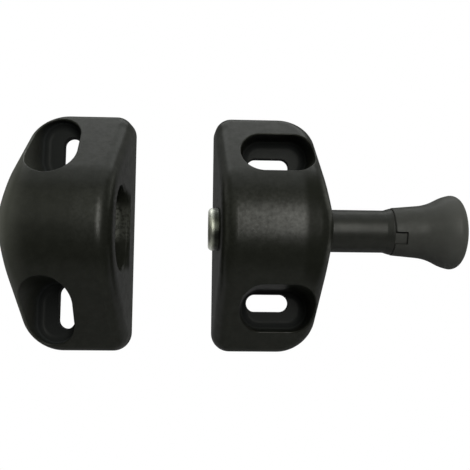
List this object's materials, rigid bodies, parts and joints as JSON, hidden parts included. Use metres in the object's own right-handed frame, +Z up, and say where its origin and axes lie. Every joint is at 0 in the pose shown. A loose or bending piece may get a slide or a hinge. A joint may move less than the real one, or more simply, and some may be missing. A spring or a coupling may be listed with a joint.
{
  "type": "magnetic gate latch",
  "caption": "Side-pull magnetic gate latch: a rounded black body with a sprung bolt and flared pull knob, beside its keeper with an upright socket and sunk screw slots.",
  "frame": {"origin": "on the latch body's back plane, midway between its two screw slots, level with the bolt axis", "axes": "+X along the bolt towards the pull knob, +Y out of the mounting backs into the post, +Z up"},
  "size_m": [0.1657, 0.04, 0.091],
  "materials": {
    "housing_plastic": "satin moulded black with a fine grain",
    "pull_plastic": "matte dark grey moulding",
    "nose_steel": "turned, dull zinc plated",
    "plated_steel": "bright zinc plated",
    "spring_steel": "drawn wire",
    "buffer_rubber": "matte",
    "ferrite": "dull sintered",
    "pole_steel": "sheared plate, zinc plated"
  },
  "bodies": {
    "mounted_halves": {"latch_housing": "housing_plastic", "stop_buffer": "buffer_rubber", "return_spring": "spring_steel", "keeper_housing": "housing_plastic", "keeper_magnet": "ferrite", "pole_plate_front": "pole_steel", "pole_plate_rear": "pole_steel", "magnet_retainer": "plated_steel", "retainer_screw_upper": "plated_steel", "retainer_screw_lower": "plated_steel"},
    "pull_bolt": {"bolt_nose": "nose_steel", "nose_pin": "plated_steel", "pull_rod": "pull_plastic", "pull_knob": "pull_plastic", "spring_seat": "plated_steel", "retaining_clip": "plated_steel"}
  },
  "joints": [
    {"name": "bolt_slide", "type": "slide", "parent": "mounted_halves", "child": "pull_bolt", "axis": [-1, 0, 0], "range_m": [0, 0.016], "stiffness_N_per_m": 60, "springref_m": -0.006, "deforming": ["return_spring"]}
  ]
}
